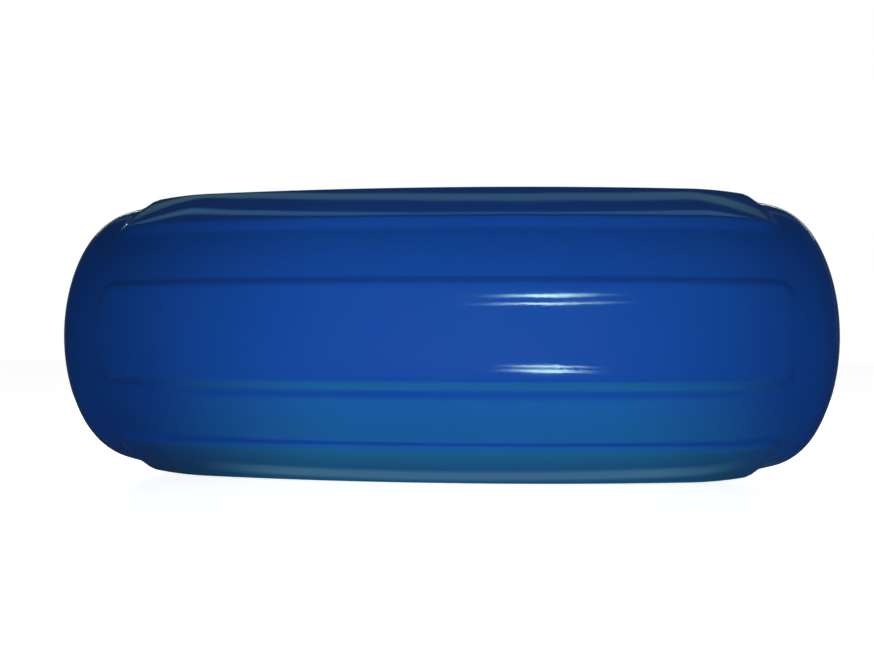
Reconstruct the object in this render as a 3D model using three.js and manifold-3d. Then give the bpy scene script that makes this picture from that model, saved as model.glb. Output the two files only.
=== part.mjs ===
// A centre-bore boat fender: one moulded vinyl body with six raised ribs along it,
// a rope bore right through its axis, and a rubber needle valve set in the right end.
// Millimetres. X runs along the fender, the front faces -Y and +Z is up.
// It lies on two of its ribs, with the origin on the ground under its middle.

import * as THREE from 'three';
import { ParametricGeometry } from 'three/addons/geometries/ParametricGeometry.js';
import { mergeVertices } from 'three/addons/utils/BufferGeometryUtils.js';
import Module from 'manifold-3d';

const { clamp, degToRad, lerp } = THREE.MathUtils;

// Overall size, the diameter over the long edges of the ribs
const LENGTH = 508;
const RIB_DIAMETER = 203;

// Ribs: bands with a nearly flat crown, rounded corners and a sloping flank all round.
// The height is that of the crown's edges over the round skin, and its middle stands lower by the dip.
const RIB_COUNT = 6;
const RIB_HEIGHT = 3.6;
const CROWN_DIP = 3.3;
const RIB_SETBACK = 57;
const RIB_CROWN_LENGTH = LENGTH - 2 * RIB_SETBACK;
const RIB_CROWN_WIDTH = 55.4;
const RIB_CORNER_RADIUS = 4;
const RIB_FLANK = 7.8;

// Section of the skin between the ribs: arcs that meet tangentially, from mid length to an end.
// The barrel gives way to the haunch at a distance from the tip, and each arc after it ends where its
// outward normal stands at the angle given to the axis.
const BARREL_ARC = 4850;
const END_REACH = 94;
const BARREL_HALF_LENGTH = LENGTH / 2 - END_REACH;
const HAUNCH_ARC = 243;
const HAUNCH_END_NORMAL = degToRad(75);
const SHOULDER_ARC = 28;
const SHOULDER_END_NORMAL = degToRad(36);
const BROW_ARC = 72;
const BROW_END_NORMAL = degToRad(22);

// Low round boss with a flat land, where a rope's stopper knot bears on each end
const BOSS_FOOT_RADIUS = 35;
const LAND_RADIUS = 25;

// Rope bore through the axis, with a rounded mouth at each end
const BORE_DIAMETER = 22;
const MOUTH_RADIUS = 6;

// Needle valve: a mushroom-headed rubber plug with a bulb that grips the wall, square to the domed end
const VALVE_OFFSET = 50;
const VALVE_HEAD_DIAMETER = 14;
const VALVE_HEAD_THICKNESS = 2.4;
const VALVE_HEAD_PROUD = 0.8;
const VALVE_STEM_DIAMETER = 8;
const VALVE_STEM_LENGTH = 14;
const VALVE_BULB_DIAMETER = 11;
const NEEDLE_FUNNEL_DIAMETER = 5;
const NEEDLE_FUNNEL_DEPTH = 1.6;
const NEEDLE_HOLE_DIAMETER = 2;
const NEEDLE_HOLE_DEPTH = 9;
const VALVE_CLEARANCE = 0.3;

// How finely each form is divided
const CROWN_STEPS = 6;
const FLANK_STEPS = 4;
const GROOVE_STEPS = 3;
const BARREL_STEPS = 4;
const RIB_END_STEPS = 5;
const HAUNCH_STEPS = 2;
const SHOULDER_STEPS = 3;
const BROW_STEPS = 2;
const CAP_STEPS = 2;
const BOSS_STEPS = 3;
const BORE_SIDES = 32;
const MOUTH_STEPS = 4;
const VALVE_SIDES = 20;
const VALVE_EDGE_STEPS = 3;

// Surface finishes
const royalBlueVinyl = new THREE.MeshStandardMaterial({ color: 0x154a9e, roughness: 0.22, metalness: 0 });
const blackRubber = new THREE.MeshStandardMaterial({ color: 0x17181a, roughness: 0.6, metalness: 0 });

const wasm = await Module();
wasm.setup();

// Turns a closed three.js geometry into a solid, leaving out the triangles that shrink to a line at a pole.
function toSolid(geometry) {
  const bare = geometry.clone();
  bare.deleteAttribute('normal');
  bare.deleteAttribute('uv');
  const merged = mergeVertices(bare);
  const corners = merged.index.array;
  const triangles = [];
  for (let i = 0; i < corners.length; i += 3) {
    const [a, b, c] = corners.slice(i, i + 3);
    if (a !== b && b !== c && c !== a) {
      triangles.push(a, b, c);
    }
  }
  return new wasm.Manifold(
    new wasm.Mesh({
      numProp: 3,
      vertProperties: new Float32Array(merged.attributes.position.array),
      triVerts: new Uint32Array(triangles),
    }),
  );
}

function toGeometry(solid) {
  const { vertProperties, triVerts } = solid.getMesh();
  const geometry = new THREE.BufferGeometry();
  geometry.setAttribute('position', new THREE.BufferAttribute(vertProperties, 3));
  geometry.setIndex(new THREE.BufferAttribute(triVerts, 1));
  geometry.computeVertexNormals();
  return geometry;
}

// Evenly spaced values from one number to another, both included
function spread(from, to, steps) {
  return Array.from({ length: steps + 1 }, (_, i) => lerp(from, to, i / steps));
}

// Joins lists end to end, where each list starts with the value that the one before it ended with
function chain(...lists) {
  return lists.reduce((joined, list) => joined.concat(list.slice(1)));
}

// An S-shaped rise from 0 to 1, level at both ends
function smoothRise(t) {
  const s = clamp(t, 0, 1);
  return s * s * (3 - 2 * s);
}

// An arc of the section, in the plane of distance along the axis and radius. Its points are named by
// where their outward normal points: 0 is along the axis, and a quarter turn is straight out from it.
class SectionArc {
  constructor(centre, radius, endNormal) {
    this.centre = centre;
    this.radius = radius;
    this.endNormal = endNormal;
  }

  static outward(normal, length) {
    return new THREE.Vector2(Math.cos(normal), Math.sin(normal)).multiplyScalar(length);
  }

  pointAt(normal) {
    return SectionArc.outward(normal, this.radius).add(this.centre);
  }

  normalAtX(x) {
    return Math.acos((x - this.centre.x) / this.radius);
  }

  normalAtRadius(radius) {
    return Math.asin((radius - this.centre.y) / this.radius);
  }

  end() {
    return this.pointAt(this.endNormal);
  }

  // The arc that carries on from this one's end without a kink
  next(radius, endNormal) {
    return new SectionArc(this.end().sub(SectionArc.outward(this.endNormal, radius)), radius, endNormal);
  }
}

const barrel = new SectionArc(
  new THREE.Vector2(0, RIB_DIAMETER / 2 - RIB_HEIGHT - BARREL_ARC),
  BARREL_ARC,
  Math.acos(BARREL_HALF_LENGTH / BARREL_ARC),
);
const haunch = barrel.next(HAUNCH_ARC, HAUNCH_END_NORMAL);
const shoulder = haunch.next(SHOULDER_ARC, SHOULDER_END_NORMAL);
const brow = shoulder.next(BROW_ARC, BROW_END_NORMAL);
// The cap's radius is the one that brings its centre onto the fender's axis.
const cap = brow.next(brow.end().y / Math.sin(BROW_END_NORMAL), 0);

// Half of the section from mid length to the axis, close together where a rib ends
function halfSection() {
  const crownEnd = RIB_CROWN_LENGTH / 2;
  const cornerStart = crownEnd - RIB_CORNER_RADIUS;
  const flankEnd = crownEnd + RIB_FLANK;
  const footNormal = cap.normalAtRadius(BOSS_FOOT_RADIUS);
  const haunchStations = chain(
    [BARREL_HALF_LENGTH, cornerStart],
    spread(cornerStart, flankEnd, RIB_END_STEPS),
    spread(flankEnd, haunch.end().x, HAUNCH_STEPS),
  );
  return chain(
    spread(0, BARREL_HALF_LENGTH, BARREL_STEPS).map((x) => barrel.pointAt(barrel.normalAtX(x))),
    haunchStations.map((x) => haunch.pointAt(haunch.normalAtX(x))),
    spread(HAUNCH_END_NORMAL, SHOULDER_END_NORMAL, SHOULDER_STEPS).map((normal) => shoulder.pointAt(normal)),
    spread(SHOULDER_END_NORMAL, BROW_END_NORMAL, BROW_STEPS).map((normal) => brow.pointAt(normal)),
    spread(BROW_END_NORMAL, footNormal, CAP_STEPS).map((normal) => cap.pointAt(normal)),
    bossSection(),
  );
}

// The boss swells out of the cap to its flat land, which runs in to the axis until the bore is cut.
function bossSection() {
  const swell = spread(BOSS_FOOT_RADIUS, LAND_RADIUS, BOSS_STEPS).map((radius) => {
    const domed = cap.pointAt(cap.normalAtRadius(radius)).x;
    const rise = smoothRise((BOSS_FOOT_RADIUS - radius) / (BOSS_FOOT_RADIUS - LAND_RADIUS));
    return new THREE.Vector2(lerp(domed, LENGTH / 2, rise), radius);
  });
  return [...swell, new THREE.Vector2(LENGTH / 2, 0)];
}

const ribPitch = (2 * Math.PI) / RIB_COUNT;

// Bearings round the axis, close together on the flanks. Bearing 0 is the front and a quarter turn the top.
function bearings() {
  const crownEdge = RIB_CROWN_WIDTH / RIB_DIAMETER;
  const ribFoot = (RIB_CROWN_WIDTH + 2 * RIB_FLANK) / RIB_DIAMETER;
  const onePitch = chain(
    spread(-crownEdge, crownEdge, CROWN_STEPS),
    spread(crownEdge, ribFoot, FLANK_STEPS),
    spread(ribFoot, ribPitch - ribFoot, GROOVE_STEPS),
    spread(ribPitch - ribFoot, ribPitch - crownEdge, FLANK_STEPS),
  );
  const pitches = Array.from({ length: RIB_COUNT }, (_, rib) => rib * ribPitch);
  return chain(...pitches.map((start) => onePitch.map((bearing) => start + bearing)));
}

// How far the skin stands proud for a rib: the height of its crown, which dips towards its middle, falling
// away over the flank with the distance from the crown's rounded outline.
function ribRelief(x, bearing) {
  const nearestRib = Math.round(bearing / ribPitch) * ribPitch;
  const across = (Math.abs(bearing - nearestRib) * RIB_DIAMETER) / 2;
  const overLength = Math.abs(x) - (RIB_CROWN_LENGTH / 2 - RIB_CORNER_RADIUS);
  const overWidth = across - (RIB_CROWN_WIDTH / 2 - RIB_CORNER_RADIUS);
  const outside = Math.hypot(Math.max(overLength, 0), Math.max(overWidth, 0)) - RIB_CORNER_RADIUS;
  const fromMiddle = Math.min((2 * across) / RIB_CROWN_WIDTH, 1);
  const crownHeight = RIB_HEIGHT - CROWN_DIP * (1 - fromMiddle ** 2);
  return crownHeight * smoothRise(1 - outside / RIB_FLANK);
}

// The ribbed skin as one closed surface, from the middle of the left end's face to that of the right
function skinGeometry() {
  const half = halfSection();
  const mirrored = half.map((point) => new THREE.Vector2(-point.x, point.y)).reverse();
  const section = chain(mirrored, half);
  const around = bearings();
  const place = (along, round, target) => {
    const { x, y: radius } = section[Math.round(along * (section.length - 1))];
    const bearing = around[Math.round(round * (around.length - 1))];
    const reach = radius + ribRelief(x, bearing);
    target.set(x, -reach * Math.cos(bearing), reach * Math.sin(bearing));
  };
  return new ParametricGeometry(place, section.length - 1, around.length - 1);
}

// Turns an outline of (radius, distance along the axis) about X.
function turned(outline, arcSteps, sides) {
  return new THREE.LatheGeometry(outline.getPoints(arcSteps), sides).rotateZ(-Math.PI / 2);
}

// The rope bore as a solid to cut with: a plain round bar that flares out to the land at each end
function boreGeometry() {
  const flare = BORE_DIAMETER / 2 + MOUTH_RADIUS;
  const past = LENGTH / 2 + MOUTH_RADIUS;
  const outline = new THREE.Path();
  outline.moveTo(0, -past);
  outline.lineTo(flare, -past);
  outline.absarc(flare, MOUTH_RADIUS - LENGTH / 2, MOUTH_RADIUS, -Math.PI / 2, Math.PI, true);
  outline.absarc(flare, LENGTH / 2 - MOUTH_RADIUS, MOUTH_RADIUS, Math.PI, Math.PI / 2, true);
  outline.lineTo(flare, past);
  outline.lineTo(0, past);
  return turned(outline, MOUTH_STEPS, BORE_SIDES);
}

// The plug's outline as far as its head's rim, grown by a clearance for the pocket that it sits in.
// The head's underside is at 0, and the stem runs inwards from it past the bulb.
function plugOutline(clearance, rim) {
  const stem = VALVE_STEM_DIAMETER / 2 + clearance;
  const bulb = VALVE_BULB_DIAMETER / 2 + clearance;
  const head = VALVE_HEAD_DIAMETER / 2 + clearance;
  const foot = -VALVE_STEM_LENGTH - clearance;
  const outline = new THREE.Path();
  outline.moveTo(0, foot);
  outline.lineTo(stem, foot);
  outline.lineTo(bulb, foot + VALVE_STEM_LENGTH / 4);
  outline.lineTo(stem, foot + VALVE_STEM_LENGTH / 2);
  outline.lineTo(stem, -clearance);
  outline.lineTo(head, -clearance);
  outline.lineTo(head, rim);
  return outline;
}

function valveGeometry() {
  const edge = VALVE_HEAD_THICKNESS / 3;
  const rim = VALVE_HEAD_THICKNESS - edge;
  const outline = plugOutline(0, rim);
  outline.absarc(VALVE_HEAD_DIAMETER / 2 - edge, rim, edge, 0, Math.PI / 2, false);
  outline.lineTo(NEEDLE_FUNNEL_DIAMETER / 2, VALVE_HEAD_THICKNESS);
  outline.lineTo(NEEDLE_HOLE_DIAMETER / 2, VALVE_HEAD_THICKNESS - NEEDLE_FUNNEL_DEPTH);
  outline.lineTo(NEEDLE_HOLE_DIAMETER / 2, VALVE_HEAD_THICKNESS - NEEDLE_HOLE_DEPTH);
  outline.lineTo(0, VALVE_HEAD_THICKNESS - NEEDLE_HOLE_DEPTH);
  return turned(outline, VALVE_EDGE_STEPS, VALVE_SIDES);
}

function pocketGeometry() {
  const clearOfSkin = 2 * VALVE_HEAD_THICKNESS;
  const outline = plugOutline(VALVE_CLEARANCE, clearOfSkin);
  outline.lineTo(0, clearOfSkin);
  return turned(outline, 1, VALVE_SIDES);
}

// The plug's axis is square to the domed end, and its head is let in to leave VALVE_HEAD_PROUD showing.
const valve = new THREE.Mesh(valveGeometry(), blackRubber);
valve.name = 'needle_valve';
const valveNormal = cap.normalAtRadius(VALVE_OFFSET);
const headUnderside = SectionArc.outward(valveNormal, VALVE_HEAD_PROUD - VALVE_HEAD_THICKNESS);
const valveSeat = cap.pointAt(valveNormal).add(headUnderside);
valve.position.set(valveSeat.x, 0, valveSeat.y);
valve.rotation.y = -valveNormal;
valve.updateMatrix();

const bodySolid = toSolid(skinGeometry())
  .subtract(toSolid(boreGeometry()))
  .subtract(toSolid(pocketGeometry().applyMatrix4(valve.matrix)));
const body = new THREE.Mesh(toGeometry(bodySolid), royalBlueVinyl);
body.name = 'fender_body';

// Lifts the fender until the two ribs under it touch the ground.
const fender = new THREE.Group();
fender.add(body, valve);
fender.position.z = -new THREE.Box3().setFromObject(body).min.z;

export default fender;
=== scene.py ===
# %% [markdown]
# # Dressing a boat fender
# A boat fender is an air-filled vinyl body that hangs on a rope between a hull and a dock. This lesson
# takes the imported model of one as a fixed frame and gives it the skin, the finish and the studio light of
# the photograph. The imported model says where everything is, so each piece here is built straight in its
# place.

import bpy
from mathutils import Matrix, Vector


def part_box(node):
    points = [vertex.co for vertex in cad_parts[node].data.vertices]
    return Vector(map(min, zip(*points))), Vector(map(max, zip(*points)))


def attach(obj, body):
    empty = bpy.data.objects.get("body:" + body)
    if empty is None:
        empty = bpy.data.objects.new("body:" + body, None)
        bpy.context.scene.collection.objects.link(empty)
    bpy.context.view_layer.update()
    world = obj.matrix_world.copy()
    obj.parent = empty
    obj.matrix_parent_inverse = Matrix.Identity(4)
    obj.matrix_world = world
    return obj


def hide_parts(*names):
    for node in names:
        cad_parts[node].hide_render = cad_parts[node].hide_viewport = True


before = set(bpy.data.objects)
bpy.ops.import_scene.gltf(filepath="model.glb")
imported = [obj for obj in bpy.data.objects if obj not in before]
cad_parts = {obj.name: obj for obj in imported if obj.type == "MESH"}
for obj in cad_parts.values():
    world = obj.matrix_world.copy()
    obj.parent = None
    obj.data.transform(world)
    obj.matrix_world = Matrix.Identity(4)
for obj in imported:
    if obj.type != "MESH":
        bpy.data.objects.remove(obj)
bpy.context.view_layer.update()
print("packed pieces:", sorted(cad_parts))

# %% [markdown]
# ## The driving sizes
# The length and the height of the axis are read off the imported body. The other sizes are those that its
# section and ribs are drawn from, in millimetres, and one factor turns them to Blender's metres. The
# radius over the ribs is a little under that of the real fender, because this smooth skin has to stay
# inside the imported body's flat facets. The ribs' crowns are nearly flat, so each is drawn as a band whose
# middle stands lower than its two long edges.

# %% Sizes
import math

import bmesh
import bpy
from mathutils import Matrix, Vector

MM = 0.001

body_low, body_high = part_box("fender_body")
half_length = (body_high.x - body_low.x) / 2
axis_height = (body_high.z + body_low.z) / 2

rib_count = 6
rib_radius = 101.35 * MM
rib_height = 3.6 * MM
crown_dip = 3.3 * MM
rib_setback = 57 * MM
crown_half_length = half_length - rib_setback
crown_half_width = 27.7 * MM
rib_corner = 4 * MM
rib_flank = 7.8 * MM

barrel_arc = 4850 * MM
end_reach = 94 * MM
barrel_half_length = half_length - end_reach
haunch_arc = 243 * MM
shoulder_arc = 28 * MM
brow_arc = 72 * MM
haunch_end, shoulder_end, brow_end = (math.radians(angle) for angle in (75, 36, 22))

boss_foot = 35 * MM
land_radius = 25 * MM
bore_radius = 11 * MM
mouth_radius = 6 * MM

print(f"half length {half_length / MM:.1f} mm, axis at {axis_height / MM:.1f} mm")

# %% [markdown]
# ## The skin: drawing its section
# The real skin is vinyl that was melted round the inside of a turning mould, so it is one closed surface.
# Its section is a row of arcs that flow into each other, from the nearly straight barrel to the rounded
# end, over a low boss and back through the rope bore. A curve object could draw this too. Swinging one
# point about each arc's centre with the spin operator gives the same outline with as many points as each
# arc needs, and every joint between arcs stays tangent because the next centre lies on the normal of the
# last point.


# %% Section helpers
def swing(mesh, point, centre, turn, steps):
    """Sweeps a point of the section about a centre, and returns the last point of the arc that it leaves."""
    arc = bmesh.ops.spin(mesh, geom=[point], cent=centre, axis=(0, 1, 0), angle=turn, steps=steps)
    return next(part for part in arc["geom_last"] if isinstance(part, bmesh.types.BMVert))


def draw_straight(mesh, point, target, steps):
    """Draws a straight line of the section from a point to a place, and returns its last point."""
    stride = (Vector(target) - point.co) / steps
    for _ in range(steps):
        point = bmesh.ops.extrude_vert_indiv(mesh, verts=[point])["verts"][0]
        point.co += stride
    return point


def flow_on(point, normal, radius):
    """The centre of an arc that carries on without a kink, because it lies on the last point's normal."""
    return point.co - Vector((math.cos(normal), 0, math.sin(normal))) * radius


def smooth_rise(share):
    """An S-shaped rise from 0 to 1, level at both ends."""
    share = min(max(share, 0), 1)
    return share * share * (3 - 2 * share)


print("a smooth rise half way along:", smooth_rise(0.5))

# %% Draw the barrel, the haunch and the shoulder
skin = bmesh.new()
point = skin.verts.new((0, 0, rib_radius - rib_height))
centre = point.co - Vector((0, 0, barrel_arc))
normal = math.pi / 2
barrel_end = math.acos(barrel_half_length / barrel_arc)
point = swing(skin, point, centre, normal - barrel_end, 24)

centre = flow_on(point, barrel_end, haunch_arc)
normal = barrel_end
for station, steps in ((crown_half_length - rib_corner, 8), (crown_half_length + rib_flank, 16)):
    station_normal = math.acos((station - centre.x) / haunch_arc)
    point = swing(skin, point, centre, normal - station_normal, steps)
    normal = station_normal
point = swing(skin, point, centre, normal - haunch_end, 8)
point = swing(skin, point, flow_on(point, haunch_end, shoulder_arc), haunch_end - shoulder_end, 14)
point = swing(skin, point, flow_on(point, shoulder_end, brow_arc), shoulder_end - brow_end, 8)

print("points up to the brow:", len(skin.verts))

# %% Draw the end cap, its boss and the bore
cap_arc = point.co.z / math.sin(brow_end)
cap_centre = flow_on(point, brow_end, cap_arc)
foot_normal, land_normal = (math.asin(radius / cap_arc) for radius in (boss_foot, land_radius))
point = swing(skin, point, cap_centre, brow_end - foot_normal, 8)
point = swing(skin, point, cap_centre, foot_normal - land_normal, 10)
for vert in skin.verts:
    if vert.co.z < boss_foot:
        swell = smooth_rise((boss_foot - vert.co.z) / (boss_foot - land_radius))
        vert.co.x += (half_length - vert.co.x) * swell

mouth_centre = Vector((half_length - mouth_radius, 0, bore_radius + mouth_radius))
point = draw_straight(skin, point, (half_length, 0, mouth_centre.z), 3)
point = swing(skin, point, mouth_centre, math.pi / 2, 8)
point = draw_straight(skin, point, (0, 0, bore_radius), 12)
print("points in the half section:", len(skin.verts))

# %% [markdown]
# ## The skin: spinning and ribbing it
# The section is spun about the axis through one sixth of a turn, with close steps over a rib's two flanks
# and wide ones over its crown and the groove. The sixth is then copied round and mirrored, as the real
# mould is alike in each sixth. Last, the points are raised by the rib relief. It falls away with the
# distance from the crown's rounded outline, so the long flanks, the end flanks and the corners are one
# soft slope, as moulded vinyl has.


# %% Spin one sixth, copy it round and mirror it
def around_axis(mesh, geometry, degrees, steps, duplicate=False):
    """Spins or copies a part of a mesh about the X axis, and returns its last edge or copy."""
    return bmesh.ops.spin(
        mesh,
        geom=geometry,
        cent=(0, 0, 0),
        axis=(1, 0, 0),
        angle=math.radians(degrees),
        steps=steps,
        use_duplicate=duplicate,
    )["geom_last"]


pitch = 360 / rib_count
crown_degrees = math.degrees(crown_half_width / rib_radius)
flank_degrees = math.degrees(rib_flank / rib_radius)
groove_degrees = pitch - 2 * (crown_degrees + flank_degrees)

first_edge = Matrix.Rotation(math.radians(pitch / 2 - crown_degrees), 3, "X")
bmesh.ops.rotate(skin, verts=skin.verts, cent=(0, 0, 0), matrix=first_edge)
edge = skin.verts[:] + skin.edges[:]
for degrees, steps in (
    (2 * crown_degrees, 20),
    (flank_degrees, 10),
    (groove_degrees, 12),
    (flank_degrees, 10),
):
    edge = around_axis(skin, edge, degrees, steps)
around_axis(skin, skin.verts[:] + skin.edges[:] + skin.faces[:], 360 - pitch, rib_count - 1, duplicate=True)
bmesh.ops.remove_doubles(skin, verts=skin.verts, dist=0.01 * MM)
bmesh.ops.mirror(skin, geom=skin.verts[:] + skin.edges[:] + skin.faces[:], axis="X", merge_dist=0.01 * MM)
print("open edges after the mirror:", sum(1 for e in skin.edges if len(e.link_faces) != 2))


# %% Raise the ribs
def rib_relief(place):
    """How far the skin stands proud at a place, from nothing in a groove to the height of a rib's edges."""
    bearing = math.degrees(math.atan2(place.z, -place.y))
    across = math.radians(abs(bearing - round(bearing / pitch) * pitch)) * rib_radius
    over_length = max(abs(place.x) - (crown_half_length - rib_corner), 0)
    over_width = max(across - (crown_half_width - rib_corner), 0)
    outside = math.hypot(over_length, over_width) - rib_corner
    dip = crown_dip * (1 - min(across / crown_half_width, 1) ** 2)
    return (rib_height - dip) * smooth_rise(1 - outside / rib_flank)


for vert in skin.verts:
    outward = Vector((0, vert.co.y, vert.co.z))
    if outward.length > land_radius:
        vert.co += outward.normalized() * rib_relief(vert.co)

bmesh.ops.translate(skin, verts=skin.verts, vec=(0, 0, axis_height))
bmesh.ops.recalc_face_normals(skin, faces=skin.faces)
top = max(vert.co.z for vert in skin.verts)
print(f"the ribs' edges reach up to {top / MM:.1f} mm")


# %% Make the skin an object
def make_piece(name, mesh, sharp_degrees):
    """Turns a bmesh into a smooth-shaded object with sharp edges where it turns by more than an angle."""
    data = bpy.data.meshes.new(name)
    mesh.to_mesh(data)
    mesh.free()
    data.shade_smooth()
    data.set_sharp_from_angle(angle=math.radians(sharp_degrees))
    piece = bpy.data.objects.new(name, data)
    bpy.context.scene.collection.objects.link(piece)
    return piece


fender_skin = make_piece("fender_skin", skin, 40)
print("skin faces:", len(fender_skin.data.polygons))

# %% [markdown]
# ## The needle valve
# The valve is a rubber plug that a pump's needle goes through. It is turned about its own axis, so
# spinning its outline once gives the whole of it: a domed head, a stem with a bulb that grips the wall,
# and the needle's funnel and hole. The same outline, a little larger, cuts the pocket that the plug sits
# in.

# %% Valve sizes
valve_offset = 50 * MM
head_radius = 7 * MM
head_thickness = 2.4 * MM
head_proud = 0.8 * MM
stem_radius = 4 * MM
stem_length = 14 * MM
bulb_radius = 5.5 * MM
funnel_radius = 2.5 * MM
funnel_depth = 1.6 * MM
needle_radius = 1 * MM
needle_depth = 9 * MM
pocket_gap = 0.3 * MM
print(f"a plug {2 * head_radius / MM:.0f} mm wide and {(head_thickness + stem_length) / MM:.1f} mm long")


# %% Plug helpers
def plug_outline(mesh, gap):
    """Draws the plug's outline from the foot of its stem to the underside of its head, grown by a gap."""
    foot = -stem_length - gap
    point = mesh.verts.new((foot, 0, 0))
    for x, radius, steps in (
        (foot, stem_radius + gap, 2),
        (foot + stem_length / 4, bulb_radius + gap, 3),
        (foot + stem_length / 2, stem_radius + gap, 3),
        (-gap, stem_radius + gap, 3),
        (-gap, head_radius + gap, 3),
    ):
        point = draw_straight(mesh, point, (x, 0, radius), steps)
    return point


def spin_closed(mesh, steps):
    """Spins an outline once about the X axis and closes the surface at its poles."""
    bmesh.ops.spin(
        mesh,
        geom=mesh.verts[:] + mesh.edges[:],
        cent=(0, 0, 0),
        axis=(1, 0, 0),
        angle=math.tau,
        steps=steps,
        use_merge=True,
    )
    bmesh.ops.remove_doubles(mesh, verts=mesh.verts, dist=0.001 * MM)
    bmesh.ops.recalc_face_normals(mesh, faces=mesh.faces)


valve_normal = math.asin(valve_offset / cap_arc)
outward = Vector((math.cos(valve_normal), 0, math.sin(valve_normal)))
valve_seat = cap_centre + outward * (cap_arc + head_proud - head_thickness)
valve_seat.z += axis_height
valve_place = Matrix.Translation(valve_seat) @ Matrix.Rotation(-valve_normal, 4, "Y")
print(f"the plug leans out by {math.degrees(valve_normal):.1f} degrees")

# %% Spin the plug
plug = bmesh.new()
head_edge = head_thickness / 3
point = plug_outline(plug, 0)
point = draw_straight(plug, point, (head_thickness - head_edge, 0, head_radius), 3)
edge_centre = point.co - Vector((0, 0, head_edge))
point = swing(plug, point, edge_centre, math.pi / 2, 8)
for x, radius, steps in (
    (head_thickness, funnel_radius, 4),
    (head_thickness - funnel_depth, needle_radius, 4),
    (head_thickness - needle_depth, needle_radius, 4),
    (head_thickness - needle_depth, 0, 1),
):
    point = draw_straight(plug, point, (x, 0, radius), steps)
spin_closed(plug, 64)
bmesh.ops.transform(plug, matrix=valve_place, verts=plug.verts)
valve_plug = make_piece("valve_plug", plug, 30)
print("plug faces:", len(valve_plug.data.polygons))

# %% Spin the pocket's tool
pocket = bmesh.new()
point = plug_outline(pocket, pocket_gap)
point = draw_straight(pocket, point, (2 * head_thickness, 0, head_radius + pocket_gap), 1)
draw_straight(pocket, point, (2 * head_thickness, 0, 0), 1)
spin_closed(pocket, 64)
bmesh.ops.transform(pocket, matrix=valve_place, verts=pocket.verts)
pocket_tool = make_piece("pocket_tool", pocket, 30)
print("pocket tool faces:", len(pocket_tool.data.polygons))

# %% Cut the pocket out of the skin
cut = fender_skin.modifiers.new("pocket", "BOOLEAN")
cut.operation = "DIFFERENCE"
cut.solver = "EXACT"
cut.object = pocket_tool
shown = fender_skin.evaluated_get(bpy.context.evaluated_depsgraph_get())
cut_mesh = bpy.data.meshes.new_from_object(shown)
fender_skin.modifiers.clear()
fender_skin.data = cut_mesh
bpy.data.objects.remove(pocket_tool)
print("skin faces with the pocket:", len(fender_skin.data.polygons))

# %% [markdown]
# ## Materials
# One small helper adds a shader node with its settings and its links, and one turns the hex colours that
# people read off a swatch into the linear numbers that Blender mixes.


# %% Material helpers
def linear(hex_colour):
    """An sRGB hex colour as linear red, green, blue and alpha."""
    channels = [int(hex_colour[i : i + 2], 16) / 255 for i in (1, 3, 5)]
    return [c / 12.92 if c <= 0.04045 else ((c + 0.055) / 1.055) ** 2.4 for c in channels] + [1]


def add_node(tree, kind, settings=None, numbered=None, **named):
    """Adds a node with its own settings, and with values or links for its numbered and its named sockets."""
    node = tree.nodes.new(kind)
    for name, value in (settings or {}).items():
        setattr(node, name, value)
    inputs = dict(numbered or {})
    for name, value in named.items():
        inputs[name.replace("_", " ")] = value
    for key, value in inputs.items():
        if isinstance(value, bpy.types.NodeSocket):
            tree.links.new(value, node.inputs[key])
        else:
            node.inputs[key].default_value = value
    return node


def start_material(name):
    """A new material with its shader and its output removed, ready for nodes."""
    material = bpy.data.materials.new(name)
    material.use_nodes = True
    material.node_tree.nodes.clear()
    return material, material.node_tree


print("a middle grey as a linear number:", round(linear("#808080")[0], 3))

# %% [markdown]
# ### Rotationally moulded vinyl
# The skin is soft PVC, coloured right through and moulded against a polished cavity. The eye sees a deep
# royal blue under a clear gloss, with a faint long unevenness from the way that soft vinyl cools and is
# pumped up, a finer orange peel in the gloss, and slight rubbing that dulls it here and there. A picture
# of vinyl would need unwrapping and would show its seams, so noise in Object coordinates gives each of
# these at its real size. The IOR is that of PVC.

# %% Vinyl
vinyl, tree = start_material("rotomoulded_royal_blue_vinyl")
place = add_node(tree, "ShaderNodeTexCoord").outputs["Object"]
clouds = add_node(tree, "ShaderNodeTexNoise", Vector=place, Scale=1 / (90 * MM), Detail=3.0, Roughness=0.5)
blues = {0: clouds.outputs["Fac"], 6: linear("#12429a"), 7: linear("#164ca2")}
colour = add_node(tree, "ShaderNodeMix", {"data_type": "RGBA"}, blues)

rubbing = add_node(tree, "ShaderNodeTexNoise", Vector=place, Scale=1 / (25 * MM), Detail=6.0, Roughness=0.6)
dulled = add_node(
    tree,
    "ShaderNodeMapRange",
    Value=rubbing.outputs["Fac"],
    From_Min=0.35,
    From_Max=0.75,
    To_Min=0.025,
    To_Max=0.05,
)

slack = add_node(tree, "ShaderNodeTexNoise", Vector=place, Scale=1 / (45 * MM), Detail=1.0)
peel = add_node(tree, "ShaderNodeTexNoise", Vector=place, Scale=1 / (2.2 * MM), Detail=2.0)
wavy = add_node(tree, "ShaderNodeBump", Height=slack.outputs["Fac"], Strength=0.08, Distance=0.6 * MM)
surface = add_node(
    tree,
    "ShaderNodeBump",
    Height=peel.outputs["Fac"],
    Strength=0.1,
    Distance=0.05 * MM,
    Normal=wavy.outputs["Normal"],
)
vinyl_shader = add_node(
    tree,
    "ShaderNodeBsdfPrincipled",
    Base_Color=colour.outputs[2],
    Roughness=dulled.outputs["Result"],
    IOR=1.53,
    Normal=surface.outputs["Normal"],
)
add_node(tree, "ShaderNodeOutputMaterial", Surface=vinyl_shader.outputs["BSDF"])
print("vinyl nodes:", len(tree.nodes))

# %% [markdown]
# ### Moulded rubber
# The plug is a small black rubber moulding. It is nearly black, matte and very slightly grainy, and it
# goes grey where a needle has scuffed it.

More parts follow.
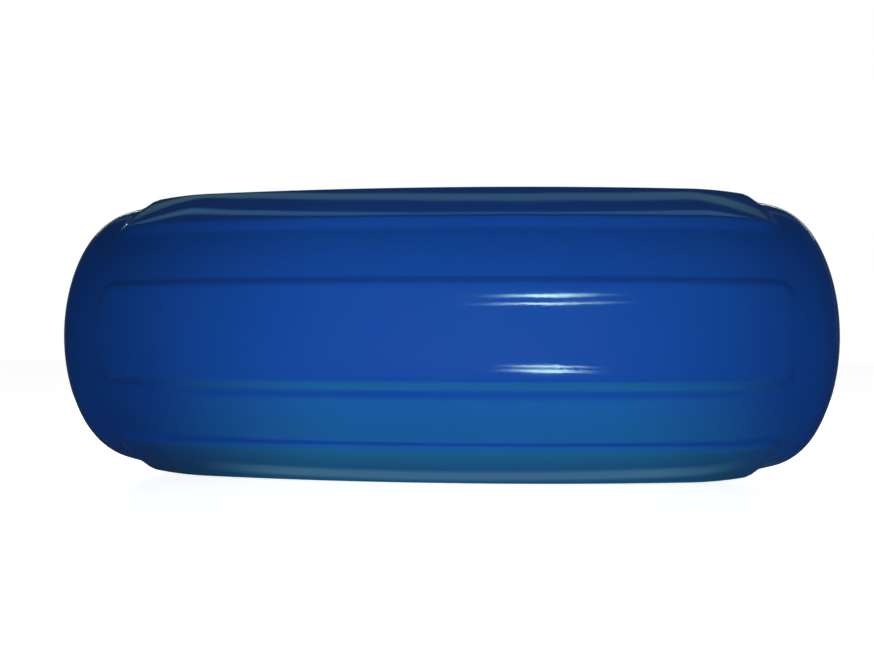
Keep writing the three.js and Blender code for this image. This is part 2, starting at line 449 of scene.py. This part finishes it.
# %% Rubber
rubber, tree = start_material("moulded_black_rubber")
place = add_node(tree, "ShaderNodeTexCoord").outputs["Object"]
grain = add_node(tree, "ShaderNodeTexNoise", Vector=place, Scale=1 / (0.5 * MM), Detail=3.0)
scuffs = add_node(tree, "ShaderNodeTexNoise", Vector=place, Scale=1 / (4 * MM), Detail=5.0)
blacks = {0: scuffs.outputs["Fac"], 6: linear("#121315"), 7: linear("#242527")}
colour = add_node(tree, "ShaderNodeMix", {"data_type": "RGBA"}, blacks)
surface = add_node(tree, "ShaderNodeBump", Height=grain.outputs["Fac"], Strength=0.3, Distance=0.05 * MM)
rubber_shader = add_node(
    tree,
    "ShaderNodeBsdfPrincipled",
    Base_Color=colour.outputs[2],
    Roughness=0.6,
    IOR=1.52,
    Normal=surface.outputs["Normal"],
)
add_node(tree, "ShaderNodeOutputMaterial", Surface=rubber_shader.outputs["BSDF"])
print("rubber nodes:", len(tree.nodes))

# %% Dress the pieces
fender_skin.data.materials.clear()
fender_skin.data.materials.append(vinyl)
valve_plug.data.materials.append(rubber)
for piece, node, slot in ((fender_skin, "fender_body", "vinyl"), (valve_plug, "needle_valve", "rubber")):
    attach(piece, "root")
    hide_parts(node)
    print(piece.name, "takes the place of", node)

# %% [markdown]
# ## The paper and the light
# The fender lies on a sheet of white paper. Paper this bright would need more light than the fender should
# get, so the sheet and the room behind it add a glow of their own to what the camera, the gloss and clear
# things see. The sheet still darkens where the fender's shadow falls.


# %% Paper
def background_glow(tree, low, high):
    """A strength that is high for camera, glossy and transmission rays and low for the rest."""
    rays = add_node(tree, "ShaderNodeLightPath")
    seen = rays.outputs["Is Camera Ray"]
    for other in ("Is Glossy Ray", "Is Transmission Ray"):
        either = {0: seen, 1: rays.outputs[other]}
        seen = add_node(tree, "ShaderNodeMath", {"operation": "MAXIMUM"}, either).outputs[0]
    return add_node(tree, "ShaderNodeMapRange", Value=seen, To_Min=low, To_Max=high).outputs["Result"]


sheet = bmesh.new()
bmesh.ops.create_grid(sheet, x_segments=1, y_segments=1, size=5)
paper_sheet = make_piece("paper_sheet", sheet, 30)
paper, tree = start_material("white_paper")
paper_shader = add_node(
    tree,
    "ShaderNodeBsdfPrincipled",
    Base_Color=linear("#e8e8e8"),
    Roughness=0.9,
    Emission_Color=(1, 1, 1, 1),
    Emission_Strength=background_glow(tree, 0, 0.88),
)
add_node(tree, "ShaderNodeOutputMaterial", Surface=paper_shader.outputs["BSDF"])
paper_sheet.data.materials.append(paper)
print("paper nodes:", len(tree.nodes))

# %% Room
world = bpy.data.worlds.new("studio")
bpy.context.scene.world = world
world.use_nodes = True
tree = world.node_tree
tree.nodes.clear()
room = add_node(tree, "ShaderNodeBackground", Color=(1, 1, 1, 1), Strength=background_glow(tree, 0.12, 1))
add_node(tree, "ShaderNodeOutputWorld", Surface=room.outputs["Background"])
print("room nodes:", len(tree.nodes))

# %% [markdown]
# ## The dark cloths: a painted dark reflection
# A glossy thing shows the room that it stands in. The photo's blue is deep and its ends go nearly black,
# so a dark reflection is painted all round it with glowing dark cloths. One cloth here is a round room and
# one lies on the floor. They could be real dark walls, but those would also take away the white background
# and the floor's light, so they glow and are seen by the gloss alone.

# %% Hang the cloths
# Painted reflection: the dark colour that the cloths glow, which the fender's gloss shows all round it.
dark_reflection_colour = (0.02, 0.03, 0.045, 1)
room_radius = 4
floor_half_width = 4
paper_gap = 0.3 * MM


def hang_cloth(name, mesh):
    """Hangs a glowing cloth that only glossy rays see, and returns its node tree and its emission."""
    cloth = make_piece(name, mesh, 80)
    material, tree = start_material(name)
    glow = add_node(tree, "ShaderNodeEmission", Color=dark_reflection_colour)
    add_node(tree, "ShaderNodeOutputMaterial", Surface=glow.outputs["Emission"])
    cloth.data.materials.append(material)
    cloth.visible_camera = False
    cloth.visible_diffuse = False
    cloth.visible_shadow = False
    cloth.visible_transmission = False
    return tree, glow


round_room = bmesh.new()
bmesh.ops.create_icosphere(round_room, subdivisions=4, radius=room_radius)
bmesh.ops.bisect_plane(
    round_room,
    geom=round_room.verts[:] + round_room.edges[:] + round_room.faces[:],
    plane_co=(0, 0, paper_gap + 0.1 * MM),
    plane_no=(0, 0, 1),
    clear_inner=True,
)
room_tree, room_glow = hang_cloth("room_cloth", round_room)

on_floor = bmesh.new()
bmesh.ops.create_grid(on_floor, x_segments=1, y_segments=1, size=floor_half_width)
bmesh.ops.translate(on_floor, verts=on_floor.verts, vec=(0, 0, paper_gap))
floor_tree, floor_glow = hang_cloth("floor_cloth", on_floor)
print("cloths hung:", len(room_tree.nodes) + len(floor_tree.nodes), "nodes")

# %% [markdown]
# ### Painted reflections: pale patches on the cloths
# A patch is a place where a cloth is paler, which the fender's gloss shows as a painted reflection. It
# could be a picture, but a few soft fades multiplied together give the same and stay sharp at any size.
# Each fade follows one distance on the cloth, in metres.


# %% Patch helpers
def distance_from(tree, value, middle):
    """How far a value is from a middle, either way."""
    offset = add_node(tree, "ShaderNodeMath", {"operation": "SUBTRACT"}, {0: value, 1: middle}).outputs[0]
    return add_node(tree, "ShaderNodeMath", {"operation": "ABSOLUTE"}, {0: offset}).outputs[0]


def lay_patch(tree, ground, colour, fades):
    """Lays a colour over a ground. Each fade is a value, its two ends, and the patch's strength at each."""
    share = 1.0
    for value, start, end, at_start, at_end in fades:
        fade = add_node(
            tree,
            "ShaderNodeMapRange",
            {"interpolation_type": "SMOOTHSTEP"},
            Value=value,
            From_Min=start,
            From_Max=end,
            To_Min=at_start,
            To_Max=at_end,
        ).outputs["Result"]
        share = add_node(tree, "ShaderNodeMath", {"operation": "MULTIPLY"}, {0: share, 1: fade}).outputs[0]
    mixed = {0: share, 6: ground, 7: colour}
    return add_node(tree, "ShaderNodeMix", {"data_type": "RGBA"}, mixed).outputs[2]


print("a patch with four fades takes nine nodes")

# %% [markdown]
# ### The painted reflections of the bright strip and the line under the rib
# In the photo the fender's lower side is paler and greener, from a strip of the sheet just before it. That
# reflection is painted as a glowing strip on the floor cloth. Under the lower rib a thin painted line stands
# for the sheet that still catches light there. The painted strip is weaker behind the fender, where no lamp
# stood, and right under it, as painted shade where the sheet lies in the fender's shadow.

# %% Light the floor cloth
strip_middle = 0.02
line_distance = 0.032
# Colours of the painted reflections of the strip and of the line under the rib.
painted_strip_reflection = (0.1, 1.0, 1.05, 1)
painted_line_reflection = (0.22, 0.6, 0.65, 1)

outlook = add_node(floor_tree, "ShaderNodeTexCoord").outputs["Object"]
spot = add_node(floor_tree, "ShaderNodeSeparateXYZ", Vector=outlook)
to_side = distance_from(floor_tree, spot.outputs["X"], strip_middle)
from_axis = distance_from(floor_tree, spot.outputs["Y"], 0)
from_line = distance_from(floor_tree, from_axis, line_distance)
# Painted shade: the strip's painted reflection drops to 0.4 behind the fender and to 0.24 right under it.
strip_fades = (
    (to_side, 0.08, 0.25, 1, 0),
    (spot.outputs["Y"], -0.02, 0.02, 1, 0.4),
    (from_axis, 0.03, 0.08, 0.24, 1),
    (from_axis, 0.13, 0.15, 1, 0),
)
line_fades = (
    (to_side, 0.11, 0.19, 1, 0),
    (from_line, 0.0015, 0.006, 1, 0),
)
floor_reflection_paint = lay_patch(floor_tree, dark_reflection_colour, painted_strip_reflection, strip_fades)
floor_reflection_paint = lay_patch(floor_tree, floor_reflection_paint, painted_line_reflection, line_fades)
floor_tree.links.new(floor_reflection_paint, floor_glow.inputs["Color"])
print("floor cloth nodes:", len(floor_tree.nodes))

# %% [markdown]
# ### The painted reflections of pale rings behind
# Two thin pale lines run along the upper rib in the photo. They are painted reflections: a line along a
# nearly straight thing is the picture of a ring on the round room, so each is painted on the room cloth as
# the places that lie at one height along a tilted axis. The painted rings grow dim towards the fender's
# ends.

# %% Draw the rings
ring_end_share = 0.4
rings_middle = -0.15

outlook = add_node(room_tree, "ShaderNodeTexCoord").outputs["Object"]
spot = add_node(room_tree, "ShaderNodeSeparateXYZ", Vector=outlook)
to_side = distance_from(room_tree, spot.outputs["X"], rings_middle)
room_reflection_paint = dark_reflection_colour
# Each ring is a painted reflection, given by its axis, height, half width and colour.
for axis, height, half_width, colour in (
    ((0.018, 0.996, -0.088), 0.564, 0.016, (0.13, 0.29, 0.25, 1)),
    ((0.002, 0.995, 0.098), 0.631, 0.010, (0.12, 0.32, 0.46, 1)),
):
    dot_product = {"operation": "DOT_PRODUCT"}
    along_axis = add_node(room_tree, "ShaderNodeVectorMath", dot_product, {0: outlook, 1: axis})
    from_ring = distance_from(room_tree, along_axis.outputs["Value"], height * room_radius)
    half_width *= room_radius
    ring_fades = (
        (from_ring, half_width * 0.6, half_width * 1.4, 1, 0),
        (to_side, 1.5, 2.2, 1, ring_end_share),
    )
    room_reflection_paint = lay_patch(room_tree, room_reflection_paint, colour, ring_fades)
room_tree.links.new(room_reflection_paint, room_glow.inputs["Color"])
print("room cloth nodes:", len(room_tree.nodes))

# %% [markdown]
# ## The lamps
# Soft panels light the fender plainly. The front one has a grid over it, which keeps its light to a beam,
# so the fender's ends fall dark as in the photo. Two more stand far enough behind to light the back and
# the end faces, but not the sides that the photo shows. A long tube over them gives the back a streak of
# gloss too.


# %% Panels
def add_lamp(name, place, target, size, radiance, spread=180, seen_in_gloss=False, colour=(1, 1, 1)):
    """An area lamp of a width and height that faces a target. Its radiance is the one straight ahead."""
    lamp = bpy.data.lights.new(name, "AREA")
    lamp.shape = "RECTANGLE"
    lamp.size, lamp.size_y = size
    lamp.spread = math.radians(spread)
    steepest = math.tan(math.radians(min(spread, 179.9) / 2))
    lamp.energy = radiance * math.pi * size[0] * size[1] * (1 - math.radians(spread / 2) / steepest)
    lamp.color = colour
    holder = bpy.data.objects.new(name, lamp)
    holder.location = place
    holder.rotation_euler = (Vector(target) - Vector(place)).to_track_quat("-Z", "Y").to_euler()
    holder.visible_camera = False
    holder.visible_glossy = seen_in_gloss
    bpy.context.scene.collection.objects.link(holder)
    return lamp


back_distance = 0.6
back_height = 0.45
middle = (0, 0, axis_height)
pale_green = (0.75, 1, 0.9)

add_lamp("front_panel", (0.015, -0.42, 0.105), (0.015, 0, 0.095), (0.34, 0.2), 15.5, spread=50)
for name, side in (("right_back_panel", 1), ("left_back_panel", -1)):
    end_face = (side * half_length, 0, axis_height)
    add_lamp(name, (side * 0.65, back_distance, back_height), end_face, (0.5, 0.5), 6.5)
back_place = (0, back_distance, back_height)
add_lamp("back_tube", back_place, middle, (1.6, 0.012), 5, seen_in_gloss=True, colour=pale_green)
print("lamps so far:", [lamp.name for lamp in bpy.data.lights])

# %% [markdown]
# ### The tubes
# The four white streaks on the rib that faces the camera are tubes seen in its gloss: a pair above the
# camera and a pair low before the fender. A tube's place follows from the height of its streak, because
# light leaves a gloss at the angle at which it came. Each tube is brightest at its middle.

# %% Tubes
crown_face = -98.5 * MM
tube_distance = 0.42
tube_middle = 0.107
tube_target = 0.06
tube_radiance = 23
tube_colour = (0.6, 1, 0.85)


def mirrored_place(height, elevation):
    """Where a tube lies that the crown facing the camera shows at a height over the axis."""
    rise = math.radians(elevation)
    front = crown_face - tube_distance * math.cos(rise)
    return (tube_middle, front, axis_height + height + tube_distance * math.sin(rise))


def brighten_middle(lamp):
    """Makes a tube brightest at the middle of its length."""
    lamp.use_nodes = True
    tree = lamp.node_tree
    tree.nodes.clear()
    across = add_node(tree, "ShaderNodeNewGeometry").outputs["Parametric"]
    along = add_node(tree, "ShaderNodeSeparateXYZ", Vector=across).outputs["X"]
    from_end = add_node(tree, "ShaderNodeMath", {"operation": "PINGPONG"}, {0: along, 1: 0.5}).outputs[0]
    soft = {"interpolation_type": "SMOOTHSTEP"}
    inward = add_node(tree, "ShaderNodeMapRange", soft, Value=from_end, From_Min=0, From_Max=0.5)
    peak = {0: inward.outputs["Result"], 1: 8}
    strength = add_node(tree, "ShaderNodeMath", {"operation": "POWER"}, peak).outputs[0]
    glow = add_node(tree, "ShaderNodeEmission", Strength=strength)
    add_node(tree, "ShaderNodeOutputLight", Surface=glow.outputs["Emission"])


for name, height, elevation, size in (
    ("upper_wide_tube", 21.4 * MM, 6.76, (0.40, 0.0050)),
    ("upper_thin_tube", 16.4 * MM, 5.37, (0.48, 0.0030)),
    ("lower_thin_tube", -18.5 * MM, -4.29, (0.32, 0.0032)),
    ("lower_wide_tube", -21.5 * MM, -5.11, (0.32, 0.0055)),
):
    target = (tube_target, crown_face, axis_height + height)
    tube_place = mirrored_place(height, elevation)
    tube = add_lamp(name, tube_place, target, size, tube_radiance, seen_in_gloss=True, colour=tube_colour)
    brighten_middle(tube)
    print(name, "hangs at", [round(value, 3) for value in tube_place])

# %% [markdown]
# ## The camera
# The photo was taken from about half a metre, level with the fender's middle. The camera's place in
# metres, its turns in radians and its lens come from a fit to the outline and the rib lines.

# %% Camera
lens = bpy.data.cameras.new("camera")
lens.sensor_width = 36
lens.lens = 31.28
lens.clip_start = 0.01
camera = bpy.data.objects.new("camera", lens)
pan, tilt, roll = -0.0672, 0.025, 0.0025
forward = Vector((math.sin(pan) * math.cos(tilt), math.cos(pan) * math.cos(tilt), math.sin(tilt)))
aim = forward.to_track_quat("-Z", "Y") @ Matrix.Rotation(roll, 3, "Z").to_quaternion()
camera.location = (0.030, -0.5278, 0.091)
camera.rotation_euler = aim.to_euler()
bpy.context.scene.collection.objects.link(camera)
bpy.context.scene.camera = camera
bpy.context.scene.view_settings.view_transform = "Standard"
print("camera at", list(camera.location))
